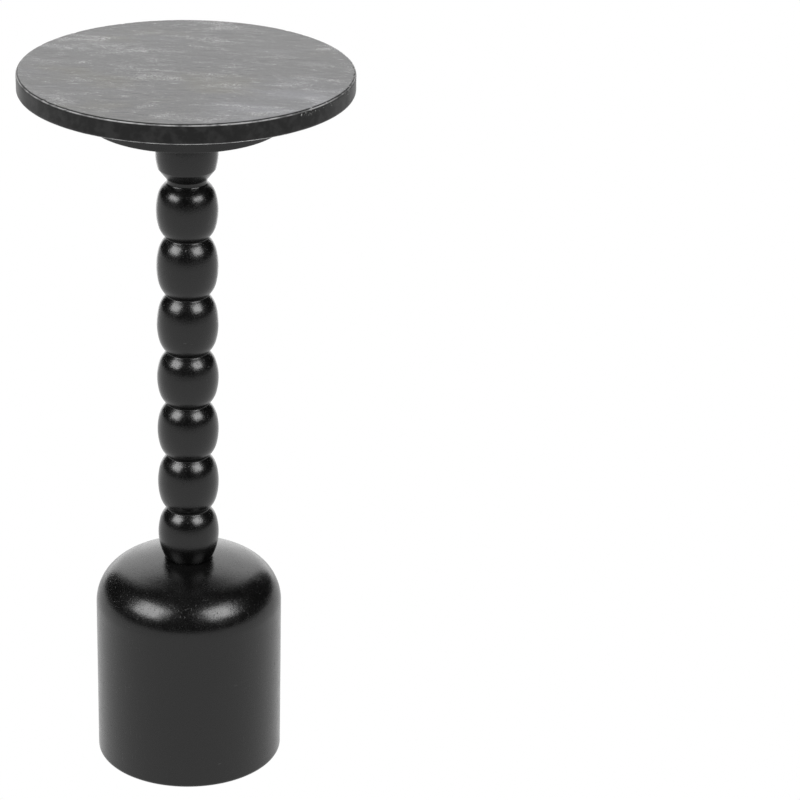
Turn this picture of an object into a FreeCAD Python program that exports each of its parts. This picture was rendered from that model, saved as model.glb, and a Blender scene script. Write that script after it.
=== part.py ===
"""Round pedestal drinks table: a slate disc on a turned plate, a beaded stem and a domed wooden base.

Millimetres. The origin is the middle of the floor under the table, and +Z points up along the stem.
"""

import FreeCAD
import Part
import math
import os

# Heights and radii that drive the rest.
TABLE_HEIGHT = 635.0
SLATE_RADIUS = 139.5
SLATE_THICKNESS = 17.3
PLATE_RADIUS = 82.0
SEAT_HEIGHT = 190.0
BASE_RADIUS = 81.2
PAD_THICKNESS = 2.0

# Slate disc and the resin that bonds it to the plate.
SLATE_TOP_ARRIS = 2.5
SLATE_BOTTOM_ARRIS = 3.0
BOND_THICKNESS = 0.5
BOND_RADIUS = 76.0
PLATE_THICKNESS = 26.5
PLATE_ARRIS = 1.0

# Turned stem. The bead heights run from the lowest bead up; the cap bead fills what is left under the plate.
BEAD_HEIGHTS = (47.0, 50.5, 49.0, 48.0, 52.0, 52.0, 48.5)
BEAD_RADIUS = 26.3
BEAD_FLAT_SHARE = 0.54
BEAD_FLAT_DROP = 1.65
CREASE_RADIUS = 17.8
END_RADIUS = 20.5
NECK_RADIUS = 17.2
NECK_HEIGHT = 3.5
CAP_RADIUS = 26.5
CAP_ARRIS_RADIUS = 24.6
CAP_ARRIS_RISE = 9.5
CAP_WIDEST_RISE = 26.0
CAP_ARRIS_ROUND = 2.0

# Domed base: a shallow crown arc runs into the shoulder arc, and that into the upright wall.
CROWN_ARC = 162.0
SHOULDER_ARC = 36.6
BASE_ARRIS = 3.1

# Spigots on the stem's ends, and the sockets that hold them.
SPIGOT_RADIUS = 15.0
SPIGOT_LENGTH = 11.5
SOCKET_RADIUS = 15.2
SOCKET_DEPTH = 12.0

# M10 hardware. Threads are plain cylinders at the nominal size.
THREAD_RADIUS = 5.0
CLEARANCE_RADIUS = 5.5
BOLT_LENGTH = 180.0
BOLT_HEAD_HEIGHT = 6.4
BOLT_HEAD_FLATS = 16.0
STUD_LENGTH = 50.0
STUD_RECESS = 1.0
THREAD_CHAMFER = 0.8
INSERT_LENGTH = 25.0
INSERT_CORE_RADIUS = 7.2
INSERT_RIB_RADIUS = 8.2
INSERT_RIBS = 8
PLAIN_WASHER_RADIUS = 15.0
PLAIN_WASHER_THICKNESS = 2.5
SPRING_WASHER_RADIUS = 9.0
SPRING_WASHER_THICKNESS = 2.2
SPRING_WASHER_GAP = 2.0
WASHER_HOLE_RADIUS = 5.3
COUNTERBORE_RADIUS = 16.0
COUNTERBORE_DEPTH = 20.0

# Tee nut pressed into the top of the plate.
TEE_FLANGE_RADIUS = 13.0
TEE_FLANGE_THICKNESS = 1.5
TEE_FLANGE_RECESS = 2.0
TEE_BARREL_RADIUS = 6.5
TEE_BARREL_LENGTH = 12.0
TEE_PRONGS = 4
TEE_PRONG_REACH = 11.0
TEE_PRONG_LENGTH = 7.0
TEE_PRONG_WIDTH = 3.0
TEE_PRONG_THICKNESS = 1.2

# Felt pads under the base.
PAD_COUNT = 4
PAD_RADIUS = 12.5
PAD_CIRCLE_RADIUS = 62.0
PAD_ARRIS = 0.4

# Levels that follow from the driving sizes.
SLATE_BOTTOM = TABLE_HEIGHT - SLATE_THICKNESS
PLATE_TOP = SLATE_BOTTOM - BOND_THICKNESS
PLATE_BOTTOM = PLATE_TOP - PLATE_THICKNESS
BASE_BOTTOM = PAD_THICKNESS
COUNTERBORE_FLOOR = BASE_BOTTOM + COUNTERBORE_DEPTH
FOOT_SPIGOT_END = SEAT_HEIGHT - SPIGOT_LENGTH
HEAD_SPIGOT_END = PLATE_BOTTOM + SPIGOT_LENGTH
FLANGE_BOTTOM = PLATE_TOP - TEE_FLANGE_RECESS
BOLT_SHOULDER = COUNTERBORE_FLOOR - PLAIN_WASHER_THICKNESS - SPRING_WASHER_THICKNESS
BORE_END_ROOM = 5.0

AXIS = FreeCAD.Vector(0, 0, 1)


def point(radius, height):
    """A point of an outline, in the half plane that is turned about the table's axis."""
    return FreeCAD.Vector(radius, 0, height)


class Outline:
    """Half section of a turned piece, drawn as straight and round stretches from a starting point."""

    def __init__(self, radius, height):
        self.start = self.end = point(radius, height)
        self.edges = []

    def line(self, radius, height):
        """Straight stretch to a new point."""
        target = point(radius, height)
        self.edges.append(Part.makeLine(self.end, target))
        self.end = target
        return self

    def arc(self, mid_radius, mid_height, radius, height):
        """Round stretch to a new point, by way of the middle one."""
        target = point(radius, height)
        self.edges.append(Part.Arc(self.end, point(mid_radius, mid_height), target).toShape())
        self.end = target
        return self

    def round(self, centre_radius, centre_height, size, start_deg, end_deg):
        """Round stretch about a centre. Angles are measured from straight out, turning upwards."""
        mid, last = math.radians((start_deg + end_deg) / 2), math.radians(end_deg)
        return self.arc(
            centre_radius + size * math.cos(mid), centre_height + size * math.sin(mid),
            centre_radius + size * math.cos(last), centre_height + size * math.sin(last),
        )

    def turned(self):
        """The solid that the closed half section makes when it is turned about the axis."""
        if self.end.distanceToPoint(self.start) > 1e-6:
            self.edges.append(Part.makeLine(self.end, self.start))
        face = Part.Face(Part.Wire(self.edges))
        return face.revolve(FreeCAD.Vector(0, 0, 0), AXIS, 360)


def cylinder(radius, low, high):
    """Upright cylinder on the table's axis."""
    return Part.makeCylinder(radius, high - low, point(0, low))


def ring(outer, inner, low, high):
    """Upright ring on the table's axis."""
    return cylinder(outer, low, high).cut(cylinder(inner, low, high))


def slate_top():
    """Slate disc with a softened arris above and below."""
    low, high = SLATE_BOTTOM, TABLE_HEIGHT
    outline = Outline(0, low).line(SLATE_RADIUS - SLATE_BOTTOM_ARRIS, low)
    outline.round(SLATE_RADIUS - SLATE_BOTTOM_ARRIS, low + SLATE_BOTTOM_ARRIS, SLATE_BOTTOM_ARRIS, -90, 0)
    outline.line(SLATE_RADIUS, high - SLATE_TOP_ARRIS)
    outline.round(SLATE_RADIUS - SLATE_TOP_ARRIS, high - SLATE_TOP_ARRIS, SLATE_TOP_ARRIS, 0, 90)
    return outline.line(0, high).turned()


def slate_bond():
    """Layer of resin between the slate and the plate."""
    return cylinder(BOND_RADIUS, PLATE_TOP, SLATE_BOTTOM)


def prongs():
    """The tee nut's prongs, pointing down from its flange."""
    side = TEE_PRONG_THICKNESS / 2
    outer = TEE_PRONG_REACH + TEE_PRONG_THICKNESS / 2
    tip = FLANGE_BOTTOM - TEE_PRONG_LENGTH
    corners = [
        FreeCAD.Vector(outer - 2 * side, -TEE_PRONG_WIDTH / 2, FLANGE_BOTTOM),
        FreeCAD.Vector(outer - 2 * side, TEE_PRONG_WIDTH / 2, FLANGE_BOTTOM),
        FreeCAD.Vector(outer - 2 * side, 0, tip),
    ]
    blade = Part.Face(Part.makePolygon(corners + corners[:1])).extrude(FreeCAD.Vector(2 * side, 0, 0))
    blades = []
    for i in range(TEE_PRONGS):
        turned = blade.copy()
        turned.rotate(FreeCAD.Vector(0, 0, 0), AXIS, 360.0 / TEE_PRONGS * i)
        blades.append(turned)
    return blades


def tee_nut():
    """Pronged nut that the stud screws into."""
    flange = cylinder(TEE_FLANGE_RADIUS, FLANGE_BOTTOM, FLANGE_BOTTOM + TEE_FLANGE_THICKNESS)
    barrel = cylinder(TEE_BARREL_RADIUS, FLANGE_BOTTOM - TEE_BARREL_LENGTH, FLANGE_BOTTOM)
    bore = cylinder(THREAD_RADIUS, FLANGE_BOTTOM - TEE_BARREL_LENGTH, PLATE_TOP)
    return flange.fuse([barrel] + prongs()).cut(bore).removeSplitter()


def top_plate():
    """Turned disc under the slate, bored for the tee nut and socketed for the stem."""
    low, high = PLATE_BOTTOM, PLATE_TOP
    outline = Outline(0, low).line(PLATE_RADIUS - PLATE_ARRIS, low)
    outline.round(PLATE_RADIUS - PLATE_ARRIS, low + PLATE_ARRIS, PLATE_ARRIS, -90, 0)
    outline.line(PLATE_RADIUS, high - PLATE_ARRIS)
    outline.round(PLATE_RADIUS - PLATE_ARRIS, high - PLATE_ARRIS, PLATE_ARRIS, 0, 90)
    plate = outline.line(0, high).turned()
    socket = cylinder(SOCKET_RADIUS, low, low + SOCKET_DEPTH)
    recess = cylinder(TEE_FLANGE_RADIUS, FLANGE_BOTTOM, high)
    bore = cylinder(TEE_BARREL_RADIUS, low, high)
    return plate.cut([socket, recess, bore] + prongs())


def insert_body(low, high):
    """A threaded insert's outside: a core with ribs that bite into the wood."""
    pitch = (high - low) / INSERT_RIBS
    outline = Outline(0, low)
    for i in range(INSERT_RIBS):
        outline.line(INSERT_CORE_RADIUS, low + i * pitch)
        outline.line(INSERT_RIB_RADIUS, low + (i + 0.5) * pitch)
    outline.line(INSERT_CORE_RADIUS, high)
    return outline.line(0, high).turned()


def foot_insert_body():
    return insert_body(FOOT_SPIGOT_END, FOOT_SPIGOT_END + INSERT_LENGTH)


def head_insert_body():
    return insert_body(HEAD_SPIGOT_END - INSERT_LENGTH, HEAD_SPIGOT_END)


def stem_foot_insert():
    """Threaded insert in the stem's foot, which the long bolt pulls down."""
    return foot_insert_body().cut(cylinder(THREAD_RADIUS, FOOT_SPIGOT_END, FOOT_SPIGOT_END + INSERT_LENGTH))


def stem_head_insert():
    """Threaded insert in the stem's head, which holds the stud."""
    return head_insert_body().cut(cylinder(THREAD_RADIUS, HEAD_SPIGOT_END - INSERT_LENGTH, HEAD_SPIGOT_END))


def bead_shoulder(height, end_radius):
    """Where a bead's flat middle arc ends, and the halfway point of the rounder arc from there to end_radius.

    Each is a radius and a distance from the bead's middle.
    """
    end = height / 2
    flat = BEAD_FLAT_SHARE * end
    flat_arc = (flat**2 + BEAD_FLAT_DROP**2) / (2 * BEAD_FLAT_DROP)
    across, along = 1 - BEAD_FLAT_DROP / flat_arc, flat / flat_arc
    joint = BEAD_RADIUS - BEAD_FLAT_DROP
    dr, dz = end_radius - joint, end - flat
    arc = -(dr**2 + dz**2) / (2 * (dr * across + dz * along))
    centre_r, centre_z = joint - arc * across, flat - arc * along
    out_r, out_z = (joint + end_radius) / 2 - centre_r, (flat + end) / 2 - centre_z
    stretch = arc / math.hypot(out_r, out_z)
    return (joint, flat), (centre_r + out_r * stretch, centre_z + out_z * stretch)


def add_beads(outline):
    """Draws the round beads from the seat up, each a flat arc between two rounder shoulders."""
    low, low_radius = SEAT_HEIGHT, END_RADIUS
    for i, height in enumerate(BEAD_HEIGHTS):
        top_radius = NECK_RADIUS if i == len(BEAD_HEIGHTS) - 1 else CREASE_RADIUS
        middle = low + height / 2
        (joint, flat), (r, z) = bead_shoulder(height, low_radius)
        outline.arc(r, middle - z, joint, middle - flat)
        outline.arc(BEAD_RADIUS, middle, joint, middle + flat)
        _, (r, z) = bead_shoulder(height, top_radius)
        outline.arc(r, middle + z, top_radius, low + height)
        low, low_radius = low + height, top_radius
    return low


def stem():
    """One turned piece: eight beads with a spigot at each end, bored for its two inserts."""
    outline = Outline(0, FOOT_SPIGOT_END).line(SPIGOT_RADIUS, FOOT_SPIGOT_END)
    outline.line(SPIGOT_RADIUS, SEAT_HEIGHT).line(END_RADIUS, SEAT_HEIGHT)
    neck_low = add_beads(outline)
    cap_low = neck_low + NECK_HEIGHT
    outline.line(NECK_RADIUS, cap_low).line(CAP_ARRIS_RADIUS, cap_low + CAP_ARRIS_RISE)
    outline.arc(CAP_RADIUS, cap_low + CAP_WIDEST_RISE, END_RADIUS, PLATE_BOTTOM)
    outline.line(SPIGOT_RADIUS, PLATE_BOTTOM).line(SPIGOT_RADIUS, HEAD_SPIGOT_END)
    body = outline.line(0, HEAD_SPIGOT_END).turned()
    arris_height = cap_low + CAP_ARRIS_RISE
    arris = [e for e in body.Edges if abs(e.BoundBox.ZMin - arris_height) + e.BoundBox.ZLength < 1e-3]
    body = body.makeFillet(CAP_ARRIS_ROUND, arris)
    foot_bore = cylinder(CLEARANCE_RADIUS, FOOT_SPIGOT_END, FOOT_SPIGOT_END + INSERT_LENGTH + BORE_END_ROOM)
    stud_end = FLANGE_BOTTOM + TEE_FLANGE_THICKNESS - STUD_RECESS - STUD_LENGTH
    head_bore = cylinder(CLEARANCE_RADIUS, stud_end - BORE_END_ROOM, HEAD_SPIGOT_END)
    return body.cut([foot_insert_body(), head_insert_body(), foot_bore, head_bore])


def base_body():
    """Solid domed base with a socket above, a bolt bore through it and a counterbore below."""
    crown_centre = SEAT_HEIGHT - math.sqrt(CROWN_ARC**2 - END_RADIUS**2)
    shoulder_radius = BASE_RADIUS - SHOULDER_ARC
    reach = CROWN_ARC - SHOULDER_ARC
    shoulder_centre = crown_centre + math.sqrt(reach**2 - shoulder_radius**2)
    tangent = math.degrees(math.asin(shoulder_radius / reach))
    seat = math.degrees(math.asin(END_RADIUS / CROWN_ARC))
    outline = Outline(0, BASE_BOTTOM).line(BASE_RADIUS - BASE_ARRIS, BASE_BOTTOM)
    outline.round(BASE_RADIUS - BASE_ARRIS, BASE_BOTTOM + BASE_ARRIS, BASE_ARRIS, -90, 0)
    outline.line(BASE_RADIUS, shoulder_centre)
    outline.round(shoulder_radius, shoulder_centre, SHOULDER_ARC, 0, 90 - tangent)
    outline.round(0, crown_centre, CROWN_ARC, 90 - tangent, 90 - seat)
    body = outline.line(0, SEAT_HEIGHT).turned()
    socket = cylinder(SOCKET_RADIUS, SEAT_HEIGHT - SOCKET_DEPTH, SEAT_HEIGHT)
    bore = cylinder(CLEARANCE_RADIUS, BASE_BOTTOM, SEAT_HEIGHT)
    counterbore = cylinder(COUNTERBORE_RADIUS, BASE_BOTTOM, COUNTERBORE_FLOOR)
    return body.cut([socket, bore, counterbore])


def top_stud():
    """Headless threaded stud that joins the tee nut to the stem's head."""
    high = FLANGE_BOTTOM + TEE_FLANGE_THICKNESS - STUD_RECESS
    low = high - STUD_LENGTH
    inner = THREAD_RADIUS - THREAD_CHAMFER
    outline = Outline(0, low).line(inner, low).line(THREAD_RADIUS, low + THREAD_CHAMFER)
    outline.line(THREAD_RADIUS, high - THREAD_CHAMFER).line(inner, high)
    return outline.line(0, high).turned()


def base_bolt():
    """Long hexagon-head bolt that clamps the base to the stem."""
    corner = BOLT_HEAD_FLATS / math.sqrt(3)
    head_low = BOLT_SHOULDER - BOLT_HEAD_HEIGHT
    corners = [
        FreeCAD.Vector(corner * math.cos(math.radians(60 * i)), corner * math.sin(math.radians(60 * i)), head_low)
        for i in range(7)
    ]
    hexagon = Part.Face(Part.makePolygon(corners)).extrude(AXIS * BOLT_HEAD_HEIGHT)
    chamfer = corner - BOLT_HEAD_FLATS / 2
    domed = Outline(0, head_low).line(BOLT_HEAD_FLATS / 2, head_low).line(corner, head_low + chamfer)
    domed = domed.line(corner, BOLT_SHOULDER).line(0, BOLT_SHOULDER).turned()
    tip = BOLT_SHOULDER + BOLT_LENGTH
    shank = Outline(0, BOLT_SHOULDER).line(THREAD_RADIUS, BOLT_SHOULDER)
    shank.line(THREAD_RADIUS, tip - THREAD_CHAMFER).line(THREAD_RADIUS - THREAD_CHAMFER, tip)
    return hexagon.common(domed).fuse(shank.line(0, tip).turned()).removeSplitter()


def plain_washer():
    """Wide flat washer against the counterbore's floor."""
    low = COUNTERBORE_FLOOR - PLAIN_WASHER_THICKNESS
    return ring(PLAIN_WASHER_RADIUS, WASHER_HOLE_RADIUS, low, COUNTERBORE_FLOOR)


def spring_washer():
    """Split spring washer, flattened by the bolt's head."""
    low, high = BOLT_SHOULDER, BOLT_SHOULDER + SPRING_WASHER_THICKNESS
    gap = Part.makeBox(
        SPRING_WASHER_GAP, SPRING_WASHER_RADIUS, high - low,
        FreeCAD.Vector(-SPRING_WASHER_GAP / 2, WASHER_HOLE_RADIUS / 2, low),
    )
    return ring(SPRING_WASHER_RADIUS, WASHER_HOLE_RADIUS, low, high).cut(gap)


def foot_pad(i):
    """One felt pad with a softened lower edge."""
    outline = Outline(0, 0).line(PAD_RADIUS - PAD_ARRIS, 0)
    outline.round(PAD_RADIUS - PAD_ARRIS, PAD_ARRIS, PAD_ARRIS, -90, 0)
    pad = outline.line(PAD_RADIUS, PAD_THICKNESS).line(0, PAD_THICKNESS).turned()
    angle = math.radians(360.0 / PAD_COUNT * (i + 0.5))
    pad.translate(FreeCAD.Vector(math.cos(angle), math.sin(angle), 0) * PAD_CIRCLE_RADIUS)
    return pad


def pieces():
    """Every piece of the table by its node name."""
    made = {
        "slate_top": slate_top(),
        "slate_bond": slate_bond(),
        "top_plate": top_plate(),
        "tee_nut": tee_nut(),
        "top_stud": top_stud(),
        "stem_head_insert": stem_head_insert(),
        "stem": stem(),
        "stem_foot_insert": stem_foot_insert(),
        "base_body": base_body(),
        "plain_washer": plain_washer(),
        "spring_washer": spring_washer(),
        "base_bolt": base_bolt(),
    }
    for i in range(PAD_COUNT):
        made[f"foot_pad_{i + 1}"] = foot_pad(i)
    return made


def main():
    os.makedirs("parts", exist_ok=True)
    for name, shape in pieces().items():
        shape.exportStep(f"parts/{name}.step")
        box = shape.BoundBox
        print(f"{name}: solids {len(shape.Solids)}, z {box.ZMin:.1f} to {box.ZMax:.1f}, "
              f"volume {shape.Volume / 1000:.1f} cm3, valid {shape.isValid()}")


main()
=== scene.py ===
import math

import bmesh
import bpy
import numpy as np
from mathutils import Matrix, Vector


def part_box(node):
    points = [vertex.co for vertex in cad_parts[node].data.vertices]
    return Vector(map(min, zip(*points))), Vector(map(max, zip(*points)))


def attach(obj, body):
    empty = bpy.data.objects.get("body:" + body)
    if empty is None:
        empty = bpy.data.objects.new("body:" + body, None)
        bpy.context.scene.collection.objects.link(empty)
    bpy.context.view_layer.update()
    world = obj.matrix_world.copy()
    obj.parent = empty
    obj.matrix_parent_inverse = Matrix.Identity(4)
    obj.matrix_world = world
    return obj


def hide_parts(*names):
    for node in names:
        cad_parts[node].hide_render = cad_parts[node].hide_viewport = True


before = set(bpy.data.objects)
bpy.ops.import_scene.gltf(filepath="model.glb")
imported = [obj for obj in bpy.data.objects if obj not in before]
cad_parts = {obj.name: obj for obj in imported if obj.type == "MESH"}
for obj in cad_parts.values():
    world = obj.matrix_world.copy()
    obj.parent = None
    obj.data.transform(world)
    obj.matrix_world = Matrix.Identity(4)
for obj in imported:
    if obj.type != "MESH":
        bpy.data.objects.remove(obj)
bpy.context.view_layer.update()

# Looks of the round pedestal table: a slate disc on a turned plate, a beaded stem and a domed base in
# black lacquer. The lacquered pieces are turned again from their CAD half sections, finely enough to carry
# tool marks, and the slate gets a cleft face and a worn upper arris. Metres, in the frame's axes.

MM = 0.001
TURN = 2 * math.pi
TOUCHING = 1e-6


# ---------------------------------------------------------------- half sections read from the CAD nodes

def cut_edges(node, angle):
    """Edges in which the half plane at an angle about Z cuts a CAD node, as pairs of (radius, height)."""
    out = Vector((math.cos(angle), math.sin(angle), 0))
    across = Vector((-math.sin(angle), math.cos(angle), 0))
    mesh = bmesh.new()
    mesh.from_mesh(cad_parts[node].data)
    bmesh.ops.remove_doubles(mesh, verts=mesh.verts, dist=TOUCHING)
    whole = mesh.verts[:] + mesh.edges[:] + mesh.faces[:]
    cut = bmesh.ops.bisect_plane(mesh, geom=whole, plane_co=(0, 0, 0), plane_no=across, dist=TOUCHING)
    pairs = []
    for edge in cut["geom_cut"]:
        if isinstance(edge, bmesh.types.BMEdge):
            inner, outer = sorted((v.co.dot(out), v.co.z) for v in edge.verts)
            if outer[0] < TOUCHING:
                continue
            if inner[0] < 0:
                share = -inner[0] / (outer[0] - inner[0])
                inner = (0.0, inner[1] + share * (outer[1] - inner[1]))
            pairs.append(tuple((round(r, 7) + 0.0, round(z, 7)) for r, z in (inner, outer)))
    mesh.free()
    return pairs


def half_section(node, angle=0.0):
    """A turned CAD node's half section as an ordered line of points, and whether the line is closed."""
    beside = {}
    for a, b in cut_edges(node, angle):
        if a != b:
            beside.setdefault(a, []).append(b)
            beside.setdefault(b, []).append(a)
    ends = sorted(p for p in beside if len(set(beside[p])) == 1)
    start = ends[0] if ends else min(beside, key=lambda p: (p[1], p[0]))
    line, last = [start], None
    while True:
        onward = [p for p in beside[line[-1]] if p != last and p != line[-1]]
        if not onward or onward[0] == start:
            break
        last = line[-1]
        line.append(onward[0])
    return np.array(line), not ends


def unit(v):
    return v / max(float(np.linalg.norm(v)), 1e-12)


def turns(line, closed):
    """The angle by which the line turns at each of its points, in degrees."""
    n = len(line)
    found = np.zeros(n)
    for i in range(n) if closed else range(1, n - 1):
        before, after = unit(line[i] - line[i - 1]), unit(line[(i + 1) % n] - line[i])
        found[i] = math.degrees(math.acos(float(np.clip(before @ after, -1, 1))))
    return found


def without_spare(line, closed):
    """The line without the points that lie in the middle of a straight stretch."""
    turn = turns(line, closed)
    keep = turn > 0.05
    if not closed:
        keep[0] = keep[-1] = True
    return line[keep]


SHARP_TURN = 24.0
GENTLE_TURN = 4.0
CORNER_JUMP = 2.2
STRAIGHT_SHARE = 4.0
HIDDEN_STEPS = 5


def smoothed(line, closed, step, hidden):
    """The line with its round stretches made smooth again and points no further apart than step, or
    HIDDEN_STEPS steps where hidden(radius, height) says so. A corner is a sharp turn, or one much sharper
    than the turns beside it."""
    line = without_spare(line, closed)
    n = len(line)
    count = n if closed else n - 1
    legs = [line[(i + 1) % n] - line[i] for i in range(count)]
    size = [float(np.linalg.norm(d)) for d in legs]
    way = [unit(d) for d in legs]
    turn = turns(line, closed)
    into, out_of = [None] * n, [None] * n
    for i in range(n):
        before, after = (i - 1) % n, i
        if not closed and i in (0, n - 1):
            continue
        beside = max(turn[i - 1], turn[(i + 1) % n])
        if turn[i] > SHARP_TURN or (turn[i] > GENTLE_TURN and turn[i] > CORNER_JUMP * beside):
            continue
        if size[before] > STRAIGHT_SHARE * size[after]:
            tangent = way[before]
        elif size[after] > STRAIGHT_SHARE * size[before]:
            tangent = way[after]
        else:
            tangent = unit(way[before] * size[after] + way[after] * size[before])
        into[i] = out_of[i] = tangent
    points = []
    for i in range(count):
        j = (i + 1) % n
        d, length = way[i], size[i]
        first, second = out_of[i], into[j]
        if first is None and second is None:
            first = second = d
        elif first is None:
            first = unit(2 * (d @ second) * d - second)
        elif second is None:
            second = unit(2 * (d @ first) * d - first)
        apart = step * (HIDDEN_STEPS if hidden(*((line[i] + line[j]) / 2)) else 1)
        pieces = max(1, math.ceil(length / apart))
        for k in range(pieces):
            t = k / pieces
            points.append(
                (2 * t**3 - 3 * t**2 + 1) * line[i] + (t**3 - 2 * t**2 + t) * length * first
                + (3 * t**2 - 2 * t**3) * line[j] + (t**3 - t**2) * length * second
            )
    if not closed:
        points.append(line[-1])
    return np.array(points)


# ---------------------------------------------------------------- smooth random fields, the same each run

def lattice(shape, seed):
    return np.random.default_rng(seed).uniform(-1, 1, shape)


def value_noise(coords, seed, size=64):
    """Smooth noise from -1 to 1 at points of 1, 2 or 3 coordinates. It repeats every size units."""
    coords = [np.asarray(c, float) for c in coords]
    table = lattice((size,) * len(coords), seed)
    cell = [np.floor(c).astype(int) for c in coords]
    part = [c - i for c, i in zip(coords, cell)]
    ease = [f * f * f * (f * (f * 6 - 15) + 10) for f in part]
    total = 0.0
    for corner in np.ndindex(*(2,) * len(coords)):
        weight = 1.0
        for c, e in zip(corner, ease):
            weight = weight * (e if c else 1 - e)
        index = tuple((i + c) % size for i, c in zip(cell, corner))
        total = total + weight * table[index]
    return total


def fractal(coords, seed, octaves=4, gain=0.5):
    """Layered noise from about -1 to 1."""
    total, weight, reach = 0.0, 1.0, 0.0
    for k in range(octaves):
        total = total + weight * value_noise([c * 2**k for c in coords], seed + 17 * k)
        reach += weight
        weight *= gain
    return total / reach


def smoothstep(low, high, x):
    t = np.clip((x - low) / (high - low), 0, 1)
    return t * t * (3 - 2 * t)


# ---------------------------------------------------------------- turned meshes

def outline_normals(points, closed):
    """Unit normals of the outline, to the right of its direction, which is outward for these sections."""
    if closed:
        along = np.roll(points, -1, 0) - np.roll(points, 1, 0)
    else:
        along = np.gradient(points, axis=0)
    along /= np.maximum(np.linalg.norm(along, axis=1, keepdims=True), 1e-12)
    return np.stack([along[:, 1], -along[:, 0]], 1)


def lathed(name, points, closed, sides, relief=None):
    """A mesh turned from an outline. relief gives how far each vertex moves along its normal, from the
    ring's radius, height, distance along the outline and the angle."""
    step = np.linalg.norm(np.diff(points, axis=0), axis=1)
    along = np.concatenate([[0], np.cumsum(step)])
    normal = outline_normals(points, closed)
    radius, height = points[:, 0], points[:, 1]
    angle = np.arange(sides) * TURN / sides
    moved = np.zeros((len(points), sides))
    if relief is not None:
        radii, angles = np.meshgrid(radius, angle, indexing="ij")
        heights, lengths = (np.repeat(values[:, None], sides, 1) for values in (height, along))
        moved = relief(radii, heights, lengths, angles)
    r = np.maximum(radius[:, None] + moved * normal[:, :1], 0)
    z = height[:, None] + moved * normal[:, 1:]
    mesh = bmesh.new()
    rings = []
    for i in range(len(points)):
        if radius[i] < TOUCHING:
            rings.append([mesh.verts.new((0, 0, height[i]))])
            continue
        rings.append([
            mesh.verts.new((r[i, k] * math.cos(angle[k]), r[i, k] * math.sin(angle[k]), z[i, k]))
            for k in range(sides)
        ])
    pairs = list(zip(rings, rings[1:] + rings[:1])) if closed else list(zip(rings, rings[1:]))
    for low, high in pairs:
        for k in range(sides):
            m = (k + 1) % sides
            corners = [low[k % len(low)], low[m % len(low)], high[m % len(high)], high[k % len(high)]]
            corners = [v for i, v in enumerate(corners) if v is not corners[i - 1]]
            if len(corners) > 2:
                mesh.faces.new(corners)
    return finished(name, mesh)


def finished(name, mesh):
    """A smooth-shaded object from a bmesh, with its normals outward."""
    bmesh.ops.recalc_face_normals(mesh, faces=mesh.faces)
    data = bpy.data.meshes.new(name)
    mesh.to_mesh(data)
    mesh.free()
    data.shade_smooth()
    piece = bpy.data.objects.new(name, data)
    bpy.context.scene.collection.objects.link(piece)
    return piece


def stands_for(piece, node, material):
    """Puts a finished piece in a CAD node's place."""
    piece.data.materials.append(material)
    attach(piece, "root")
    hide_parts(node)
    return piece


# ---------------------------------------------------------------- material nodes

class Nodes:
    """Short hand for a material's node tree, in object coordinates."""

    def __init__(self, name):
        self.material = bpy.data.materials.new(name)
        self.material.use_nodes = True
        self.tree = self.material.node_tree
        self.shader = self.tree.nodes["Principled BSDF"]
        self.place = self.tree.nodes.new("ShaderNodeTexCoord").outputs["Object"]

    def add(self, kind, inputs=None, **settings):
        node = self.tree.nodes.new(kind)
        for key, value in settings.items():
            setattr(node, key, value)
        for key, value in (inputs or {}).items():
            self.put(node.inputs[key], value)
        return node

    def put(self, socket, value):
        if isinstance(value, bpy.types.NodeSocket):
            self.tree.links.new(value, socket)
        else:
            socket.default_value = value

    def mapped(self, scale=(1, 1, 1), turn=0.0, shift=(0, 0, 0)):
        """Object coordinates turned about Z, then scaled."""
        turning = {"Vector": self.place, "Rotation": (0, 0, -turn), "Location": shift}
        turned = self.add("ShaderNodeMapping", turning)
        return self.add("ShaderNodeMapping", {"Vector": turned.outputs[0], "Scale": scale}).outputs[0]

    def coordinate(self, axis):
        return self.add("ShaderNodeSeparateXYZ", {0: self.place}).outputs[axis]

    def length(self, vector):
        return self.add("ShaderNodeVectorMath", {0: vector}, operation="LENGTH").outputs["Value"]

    def noise(self, where, scale, detail=4.0, rough=0.5, distortion=0.0):
        node = self.add("ShaderNodeTexNoise", {
            "Vector": where, "Scale": scale, "Detail": detail, "Roughness": rough, "Distortion": distortion,
        })
        return node.outputs["Fac"]

    def remap(self, value, low, high, to_low=0.0, to_high=1.0):
        node = self.add("ShaderNodeMapRange", {
            "Value": value, "From Min": low, "From Max": high, "To Min": to_low, "To Max": to_high,
        }, interpolation_type="SMOOTHSTEP")
        return node.outputs["Result"]

    def maths(self, operation, a, b=0.0):
        return self.add("ShaderNodeMath", {0: a, 1: b}, operation=operation).outputs[0]

    def product(self, first, *others):
        for value in others:
            first = self.maths("MULTIPLY", first, value)
        return first

    def mix(self, share, a, b):
        node = self.add("ShaderNodeMix", data_type="RGBA")
        for i, value in ((0, share), (6, a), (7, b)):
            self.put(node.inputs[i], value)
        return node.outputs[2]

    def bump(self, height, distance, strength):
        inputs = {"Height": height, "Distance": distance, "Strength": strength}
        return self.add("ShaderNodeBump", inputs).outputs[0]

    def set(self, **values):
        for key, value in values.items():
            self.put(self.shader.inputs[key.replace("_", " ")], value)


def grey(value, tint=(1, 1, 1)):
    return (value * tint[0], value * tint[1], value * tint[2], 1)


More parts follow.
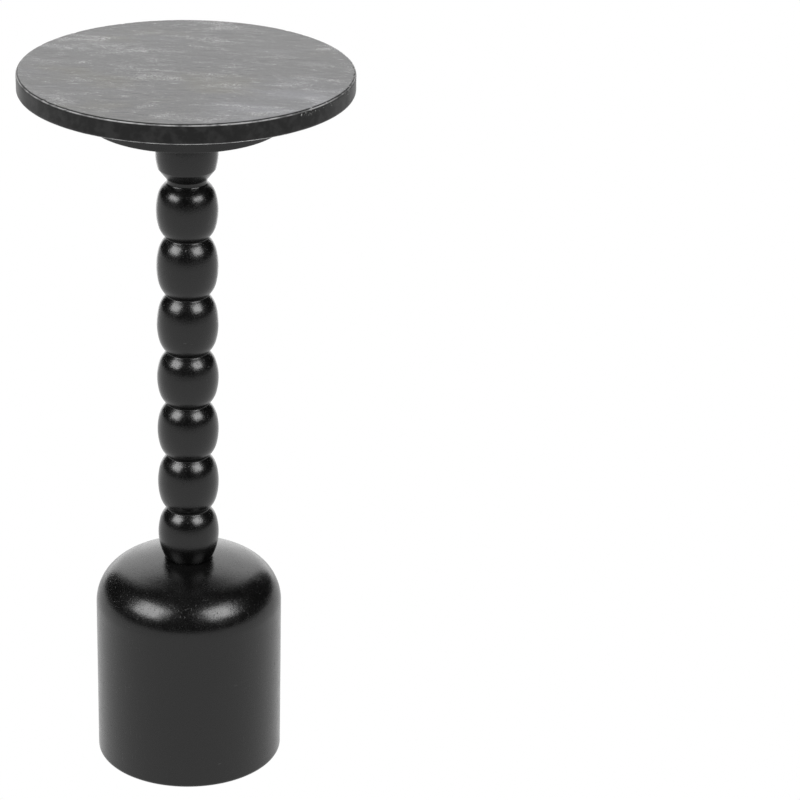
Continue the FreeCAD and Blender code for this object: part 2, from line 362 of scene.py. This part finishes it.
def lacquer():
    """Black lacquer over turned wood: satin gloss, with open pores and a fine mottle in the sheen."""
    m = Nodes("black_lacquer")
    mottle = m.noise(m.mapped(), 90, 3, 0.6)
    speck = m.noise(m.mapped(), 950, 2, 0.6)
    pores = m.noise(m.mapped((1, 1, 0.16)), 620, 3, 0.65)
    pits = m.remap(pores, 0.62, 0.72)
    tone = m.mix(m.remap(speck, 0.42, 0.72), grey(0.0019), grey(0.0037, (1, 0.99, 0.97)))
    dashes = m.remap(m.noise(m.mapped((1, 1, 7), shift=(0.3, 0.1, 0.2)), 75, 1, 0.5), 0.800, 0.815)
    m.set(
        Specular_IOR_Level=0.42,
        Base_Color=m.mix(dashes, m.mix(pits, tone, grey(0.0014)), grey(0.03)),
        Roughness=m.maths("ADD", m.remap(mottle, 0.3, 0.7, 0.20, 0.25), m.remap(speck, 0.4, 0.7, 0.0, 0.07)),
        IOR=1.5,
        Normal=m.bump(m.maths("SUBTRACT", speck, pits), 0.00009, 0.7),
    )
    return m.material


VEIN_ANGLE = math.radians(-6)


def honed_face(m, cloud, crackle, fine):
    """The slate's level faces: soft bands, with clusters of fine pale flecks and veins along the cleft."""
    grain = VEIN_ANGLE
    drawn = m.mapped((1, 2.6, 1), turn=grain)
    band = m.noise(m.mapped((1, 3.4, 1), turn=grain, shift=(0.31, 0.17, 0)), 11, 5, 0.6, 0.5)
    crowd = m.noise(m.mapped((1, 2.4, 1), turn=grain, shift=(0.5, 0.9, 0)), 20, 5, 0.66, 0.6)
    clusters = m.remap(crowd, 0.48, 0.68)
    thread = m.remap(m.maths("ABSOLUTE", m.maths("SUBTRACT", crackle, 0.5)), 0.030, 0.0)
    wisps = m.noise(m.mapped((1, 7, 1), turn=grain, shift=(0.2, 0.4, 0)), 85, 4, 0.66, 0.6)
    wisp = m.product(m.remap(wisps, 0.60, 0.72), m.remap(cloud, 0.42, 0.60, 0.25, 1.0))
    scattered = m.product(thread, m.remap(m.noise(drawn, 60, 3, 0.6), 0.55, 0.70, 0.0, 0.55))
    fleck = m.maths("MAXIMUM", m.product(thread, clusters), scattered)
    fleck = m.maths("MAXIMUM", fleck, m.product(wisp, 0.7))
    from_patch = m.length(m.mapped(shift=(-0.075, 0.085, 0), scale=(1, 1, 0)))
    patch = m.product(m.remap(from_patch, 0.085, 0.02), m.remap(band, 0.38, 0.60, 0.3, 0.9))
    stain = m.noise(m.mapped((1, 1.8, 1), turn=grain, shift=(0.77, 0.23, 0)), 9, 3, 0.5)
    body = m.mix(m.remap(cloud, 0.35, 0.68), grey(0.080), grey(0.120, (1, 1, 1.01)))
    body = m.mix(m.remap(band, 0.52, 0.70, 0.0, 0.5), body, grey(0.150, (0.98, 0.985, 1.04)))
    body = m.mix(patch, body, grey(0.165, (0.97, 0.98, 1.06)))
    body = m.mix(m.remap(stain, 0.55, 0.72, 0.0, 0.5), body, grey(0.120, (1.05, 1.0, 0.78)))
    body = m.mix(m.remap(fine, 0.3, 0.7, 0.0, 0.5), body, grey(0.050))
    return m.mix(m.product(fleck, 0.9), body, grey(0.52, (1, 1, 0.99)))


def slate():
    """Honed slate with a darker sawn edge and a nicked upper arris. Pale lines in patches along both arrises
    are painted highlights, and a near-black band just under the top face is painted shade.
    """
    m = Nodes("honed_slate")
    flat = m.mapped(turn=VEIN_ANGLE)
    cloud = m.noise(m.mapped((1, 2.6, 1), turn=VEIN_ANGLE), 9, 5, 0.6, 0.4)
    crackle = m.noise(m.mapped((1, 1.9, 1), turn=VEIN_ANGLE), 150, 5, 0.74, 1.6)
    fine = m.noise(flat, 1100, 3, 0.65)
    faced = honed_face(m, cloud, crackle, fine)
    low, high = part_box("slate_top")
    height, radius = m.coordinate("Z"), m.length(m.mapped((1, 1, 0)))

    def down(start, end):
        """Grows from 0 to 1 between two depths in millimetres under the slate's top."""
        return m.remap(height, high.z - start * MM, high.z - end * MM)

    def outside(inset):
        """1 in the outermost inset millimetres of the disc."""
        return m.maths("GREATER_THAN", radius, high.x - inset * MM)

    patchy = m.remap(m.noise(flat, 70, 4, 0.65), 0.36, 0.60, 0.25, 1.0)
    below = m.product(outside(3.3), down(0.12, 0.34))
    # Painted highlight: a pale line in patches along the upper arris, 0.6 to 1.9 mm under the top, stands
    # for light caught on the arris.
    painted_arris_highlight = m.product(down(1.9, 1.3), down(0.6, 0.9), outside(2.7), patchy)
    # Painted highlight: the outer 3.3 mm of the lowest 1.2 mm are made pale in patches, standing for the
    # bright floor reflected at a grazing angle on the lower arris.
    rubbed = m.product(m.remap(height, low.z + 1.2 * MM, low.z + 0.7 * MM), outside(3.3), patchy)
    edge = m.mix(m.remap(m.noise(flat, 120, 4, 0.6), 0.4, 0.65), grey(0.004), grey(0.012))
    # Painted shade: the band from about 0.3 to 1 mm under the top is made near black, standing for the dark
    # studio reflected in the arris.
    edge = m.mix(down(1.7, 1.0), edge, grey(0.006))
    edge = m.mix(painted_arris_highlight, edge, grey(0.24))
    edge = m.mix(rubbed, edge, grey(0.55))
    knocked = m.remap(m.coordinate("X"), 0.082, 0.112, 0.0, 0.13)
    struck = m.remap(m.maths("ADD", m.noise(flat, 26, 3, 0.6), knocked), 0.53, 0.64)
    near_arris = m.product(m.remap(radius, high.x - 5 * MM, high.x - 2 * MM), down(7, 2))
    nicks = m.product(m.remap(m.noise(flat, 420, 3, 0.7), 0.60, 0.68), struck, near_arris)
    m.set(
        Specular_IOR_Level=0.20,
        Base_Color=m.mix(nicks, m.mix(below, faced, edge), grey(0.30)),
        Roughness=m.remap(cloud, 0.3, 0.7, 0.40, 0.48),
        IOR=1.5,
        Normal=m.bump(m.maths("ADD", m.product(fine, 0.5), crackle), 0.00012, 0.6),
    )
    return m.material


def metal(name, colour, rough, brushed):
    """Plated or machined metal with fine turning lines and a mottled sheen."""
    m = Nodes(name)
    lines = m.noise(m.mapped((1, 1, brushed)), 700, 3, 0.6)
    mottle = m.noise(m.mapped(), 160, 4, 0.6)
    dark = (colour[0] * 0.7, colour[1] * 0.7, colour[2] * 0.72, 1)
    m.set(
        Base_Color=m.mix(m.remap(mottle, 0.35, 0.7), (*colour, 1), dark),
        Metallic=1.0,
        Roughness=m.remap(lines, 0.3, 0.7, rough - 0.07, rough + 0.09),
        Normal=m.bump(lines, 0.00003, 0.5),
    )
    return m.material


def resin():
    """Cured resin: amber grey, slightly cloudy, with fine bubbles."""
    m = Nodes("cured_resin")
    cloud = m.noise(m.mapped(), 60, 4, 0.6)
    m.set(
        Base_Color=m.mix(m.remap(cloud, 0.3, 0.7), (0.42, 0.36, 0.26, 1), (0.52, 0.47, 0.36, 1)),
        Roughness=m.remap(cloud, 0.3, 0.7, 0.35, 0.5),
        Normal=m.bump(m.noise(m.mapped(), 1200, 2, 0.5), 0.00005, 0.5),
    )
    return m.material


def felt():
    """Pressed black felt: matted fibres with a soft sheen."""
    m = Nodes("pressed_felt")
    fibres = m.noise(m.mapped(), 1400, 4, 0.7, 1.5)
    tufts = m.noise(m.mapped(), 260, 4, 0.6)
    m.set(
        Base_Color=m.mix(m.remap(fibres, 0.35, 0.7), grey(0.016), grey(0.05, (1, 0.98, 0.95))),
        Roughness=0.95,
        Sheen_Weight=0.35,
        Sheen_Roughness=0.5,
        Normal=m.bump(m.maths("ADD", fibres, tufts), 0.0002, 0.8),
    )
    return m.material


# ---------------------------------------------------------------- lacquered pieces

TOOL_MARK = 0.035 * MM
GRAIN_SWELL = 0.05 * MM
BRUSH_RIPPLE = 0.012 * MM
LACQUER_STEP = 1.3 * MM
BURIED_RADIUS = 15.5 * MM


def turned_relief(seed, low, high):
    """Faint tool rings, the wood's slow swelling and small brush ripples. All of it goes inward."""
    def relief(radius, height, along, angle):
        x, y = radius * np.cos(angle), radius * np.sin(angle)
        rings = fractal([along / (2.2 * MM)], seed, 3, 0.6)
        swell = fractal([x / (21 * MM), y / (21 * MM), height / (60 * MM)], seed + 5, 3)
        ripple = fractal([x / (5 * MM), y / (5 * MM), height / (9 * MM)], seed + 9, 2)
        depth = TOOL_MARK * (1 + rings) / 2 + GRAIN_SWELL * (1 + swell) / 2 + BRUSH_RIPPLE * (1 + ripple) / 2
        shown = smoothstep(low, low + 1 * MM, height) * (1 - smoothstep(high - 1 * MM, high, height))
        return -depth * shown * (radius > BURIED_RADIUS)
    return relief


def turned_piece(node, name, sides, seed, material, angle=0.0):
    """A lacquered piece turned from its CAD node's section at an angle. Inside BURIED_RADIUS lie only the
    bores and sockets of its joints, which stay smooth and coarse."""
    line, closed = half_section(node, angle)
    low, high = (corner.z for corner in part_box(node))
    points = smoothed(line, closed, LACQUER_STEP, lambda r, z: r < BURIED_RADIUS)
    piece = lathed(name, points, closed, sides, turned_relief(seed, low, high))
    return stands_for(piece, node, material)


# ---------------------------------------------------------------- slate disc

SLATE_SIDES = 420
SLATE_STEP = 1.25 * MM
CLEFT_DEPTH = 0.32 * MM
CHIP_DEPTH = 0.9 * MM
SAWN_DEPTH = 0.10 * MM
ARRIS_REACH = 1.5 * MM
ARRIS_INSET = 0.7 * MM


def cleft(x, y):
    """How deep the honed face lies under its highest level, at points of the top."""
    u = x * math.cos(VEIN_ANGLE) + y * math.sin(VEIN_ANGLE)
    v = -x * math.sin(VEIN_ANGLE) + y * math.cos(VEIN_ANGLE)
    wave = fractal([u / (60 * MM) + 7, v / (30 * MM) + 3], 31, 4, 0.45)
    flakes = smoothstep(0.15, 0.32, fractal([u / (17 * MM), v / (5.5 * MM)], 57, 3, 0.6))
    fine = fractal([u / (3.4 * MM), v / (1.5 * MM)], 71, 2, 0.6)
    return CLEFT_DEPTH * (0.50 * (1 + wave) / 2 + 0.30 * flakes + 0.2 * (1 + fine) / 2)


def slate_disc(material):
    """The slate: a cleft top face, a worn and chipped arris, and a sawn and rubbed edge."""
    low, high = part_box("slate_top")
    line, closed = half_section("slate_top")
    points = smoothed(
        line, closed, SLATE_STEP, lambda r, z: z < low.z + 0.1 * MM and r < high.x - 60 * MM,
    )
    edge = high.x

    def relief(radius, height, along, angle):
        x, y = radius * np.cos(angle), radius * np.sin(angle)
        face = smoothstep(high.z - 2.6 * MM, high.z - 0.2 * MM, height)
        depth = cleft(x, y) * face * (1 - 0.6 * smoothstep(edge - 6 * MM, edge - 1 * MM, radius))
        round_rim = edge * angle
        chips = fractal([round_rim / (3.1 * MM), height / (2.6 * MM)], 83, 3, 0.6)
        where = smoothstep(0.05, 0.45, fractal([round_rim / (38 * MM) + 4], 91, 2))
        inward, downward = radius - edge + ARRIS_INSET, height - high.z + ARRIS_INSET
        arris = np.exp(-(inward**2 + downward**2) / ARRIS_REACH**2)
        depth = depth + CHIP_DEPTH * arris * where * smoothstep(0.18, 0.55, chips)
        rubbed = SAWN_DEPTH * (1 + fractal([round_rim / (7 * MM), height / (6 * MM)], 97, 4, 0.6)) / 2
        side = smoothstep(edge - 3 * MM, edge - 1 * MM, radius)
        under = smoothstep(low.z + 0.1 * MM, low.z + 1.5 * MM, height)
        return -(depth + rubbed * side * under)

    piece = lathed("slate_disc", points, closed, SLATE_SIDES, relief)
    return stands_for(piece, "slate_top", material)


# ---------------------------------------------------------------- felt pads

FELT_SIDES = 96
FELT_ROUND = 0.4 * MM
FELT_FUZZ = 0.16 * MM


def felt_pad(node, name, seed, material):
    """One pressed felt pad with a fibrous surface and a slightly ragged edge."""
    low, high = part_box(node)
    middle = (low + high) / 2
    reach = (high.x - low.x) / 2
    ring = np.linspace(0, reach - FELT_ROUND, 15)
    bottom = [(r, 0.0) for r in ring]
    turn = [
        (reach - FELT_ROUND * (1 - math.sin(a)), FELT_ROUND * (1 - math.cos(a)))
        for a in np.linspace(0.4, math.pi / 2, 4)
    ]
    side = [(reach, h * MM) for h in (0.8, 1.2, 1.6, 2.0)]
    top = [(r, high.z) for r in ring[::-1]]
    points = np.array(bottom + turn + side + top)

    def relief(radius, height, along, angle):
        x, y = radius * np.cos(angle), radius * np.sin(angle)
        fuzz = fractal([x / (0.9 * MM), y / (0.9 * MM), height / (0.5 * MM)], seed, 3, 0.6)
        free = 1 - smoothstep(high.z - 0.3 * MM, high.z - 0.05 * MM, height)
        return -FELT_FUZZ * (1 + fuzz) / 2 * free

    piece = lathed(name, points, False, FELT_SIDES, relief)
    piece.data.transform(Matrix.Translation((middle.x, middle.y, 0)))
    return stands_for(piece, node, material)


# ---------------------------------------------------------------- the object

def dress(nodes, material):
    """Gives CAD nodes that stay as they are a finished material."""
    for node in nodes:
        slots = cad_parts[node].data.materials
        for i in range(len(slots)):
            slots[i] = material


black = lacquer()
base = turned_piece("base_body", "base", 300, 11, black)
stem = turned_piece("stem", "beaded_stem", 176, 23, black)
plate = turned_piece("top_plate", "turned_plate", 300, 37, black, math.radians(45))
disc = slate_disc(slate())
soft = felt()
for i in range(1, 5):
    felt_pad(f"foot_pad_{i}", f"felt_pad_{i}", 100 + i, soft)
dress(["base_bolt", "plain_washer", "spring_washer", "tee_nut", "top_stud"],
      metal("zinc_plate", (0.55, 0.56, 0.58), 0.32, 0.15))
dress(["stem_head_insert", "stem_foot_insert"], metal("machined_brass", (0.70, 0.52, 0.25), 0.28, 6.0))
dress(["slate_bond"], resin())


# ---------------------------------------------------------------- studio

def emitter(name, strength, one_sided=False):
    """A material that glows white. A one-sided one is clear from behind."""
    material = bpy.data.materials.new(name)
    material.use_nodes = True
    nodes = material.node_tree.nodes
    nodes.remove(nodes["Principled BSDF"])
    glow = nodes.new("ShaderNodeEmission")
    glow.inputs["Color"].default_value = (1, 1, 1, 1)
    glow.inputs["Strength"].default_value = strength
    shown = glow.outputs[0]
    if one_sided:
        mixed = nodes.new("ShaderNodeMixShader")
        back = nodes.new("ShaderNodeNewGeometry").outputs["Backfacing"]
        for socket, value in ((0, back), (1, shown), (2, nodes.new("ShaderNodeBsdfTransparent").outputs[0])):
            material.node_tree.links.new(value, mixed.inputs[socket])
        shown = mixed.outputs[0]
    material.node_tree.links.new(shown, nodes["Material Output"].inputs["Surface"])
    return material


def card(name, width, depth, matrix, material):
    """A flat stage card, centred on its matrix."""
    mesh = bmesh.new()
    bmesh.ops.create_grid(mesh, x_segments=2, y_segments=2, size=0.5)
    bmesh.ops.scale(mesh, vec=(width, depth, 1), verts=mesh.verts)
    data = bpy.data.meshes.new(name)
    mesh.to_mesh(data)
    mesh.free()
    data.materials.append(material)
    piece = bpy.data.objects.new(name, data)
    piece.matrix_world = matrix
    bpy.context.scene.collection.objects.link(piece)
    return piece


def facing(place, target):
    """A matrix at place whose -Z looks at target."""
    place, target = Vector(place), Vector(target)
    return Matrix.Translation(place) @ (target - place).to_track_quat("-Z", "Y").to_matrix().to_4x4()


def around(azimuth, elevation, distance, centre):
    """A point seen from centre at an azimuth, 0 towards the front and positive to its right."""
    a, e = math.radians(azimuth), math.radians(elevation)
    out = Vector((math.sin(a) * math.cos(e), -math.cos(a) * math.cos(e), math.sin(e)))
    return Vector(centre) + out * distance


def softbox(name, azimuth, elevation, wide, tall, radiance, centre, distance):
    """A rectangular studio light, its size given as the angles that it fills as seen from centre."""
    light = bpy.data.lights.new(name, "AREA")
    light.shape = "RECTANGLE"
    light.size = 2 * distance * math.tan(math.radians(wide / 2))
    light.size_y = 2 * distance * math.tan(math.radians(tall / 2))
    light.energy = radiance * math.pi * light.size * light.size_y
    lamp = bpy.data.objects.new(name, light)
    lamp.matrix_world = facing(around(azimuth, elevation, distance, centre), centre)
    lamp.visible_camera = False
    bpy.context.scene.collection.objects.link(lamp)


FLOOR_SPAN = 14
FLOOR_DROP = 0.5 * MM
BACKDROP_PLACE = (0, 0.95, 0.66)
SOFTBOX_CENTRE = (0, 0, 0.30)
SOFTBOX_DISTANCE = 2.2
BACK_LIGHT_DISTANCE = 0.9


def studio():
    """White floor, white backdrop and two softboxes in front, with a weak broad light behind. The world is
    white to the camera only: it gives no light and isn't reflected."""
    floor = card(
        "floor", FLOOR_SPAN, FLOOR_SPAN, Matrix.Translation((0, 0, -FLOOR_DROP)),
        emitter("white_floor", 1.0, True),
    )
    floor.visible_shadow = False
    level = (0, 0, BACKDROP_PLACE[2])
    backdrop = card("backdrop", 1.22, 1.35, facing(BACKDROP_PLACE, level), emitter("backdrop_white", 2.0))
    backdrop.visible_camera = False
    softbox("softbox_left", -60, 38, 34, 30, 11.0, SOFTBOX_CENTRE, SOFTBOX_DISTANCE)
    softbox("softbox_right", 47, 39, 32, 29, 11.0, SOFTBOX_CENTRE, SOFTBOX_DISTANCE)
    top_centre = (0, 0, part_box("slate_top")[1].z)
    softbox("back_light", 180, 25, 84, 44, 0.36, top_centre, BACK_LIGHT_DISTANCE)
    world = bpy.data.worlds.new("studio")
    world.use_nodes = True
    background = world.node_tree.nodes["Background"]
    background.inputs["Color"].default_value = (1, 1, 1, 1)
    background.inputs["Strength"].default_value = 1.1
    world.cycles_visibility.glossy = False
    world.cycles_visibility.diffuse = False
    bpy.context.scene.world = world
    bpy.context.scene.view_settings.view_transform = "Standard"


CAMERA_DISTANCE = 2.5004
CAMERA_HEIGHT = 1.4449
CAMERA_YAW = math.radians(4.169)
CAMERA_PITCH = math.radians(23.832)
CAMERA_ROLL = math.radians(1.419)
CAMERA_LENS = 143.10


def add_camera():
    """Camera in front of the table, looking down at it and to its right."""
    forward = Vector((
        math.sin(CAMERA_YAW) * math.cos(CAMERA_PITCH),
        math.cos(CAMERA_YAW) * math.cos(CAMERA_PITCH),
        -math.sin(CAMERA_PITCH),
    ))
    right = Vector((math.cos(CAMERA_YAW), -math.sin(CAMERA_YAW), 0))
    up = right.cross(forward)
    c, s = math.cos(CAMERA_ROLL), math.sin(CAMERA_ROLL)
    right, up = c * right + s * up, c * up - s * right
    data = bpy.data.cameras.new("camera")
    data.lens = CAMERA_LENS
    camera = bpy.data.objects.new("camera", data)
    axes = Matrix((right, up, -forward)).transposed().to_4x4()
    camera.matrix_world = Matrix.Translation((0, -CAMERA_DISTANCE, CAMERA_HEIGHT)) @ axes
    bpy.context.scene.collection.objects.link(camera)
    bpy.context.scene.camera = camera


studio()
add_camera()
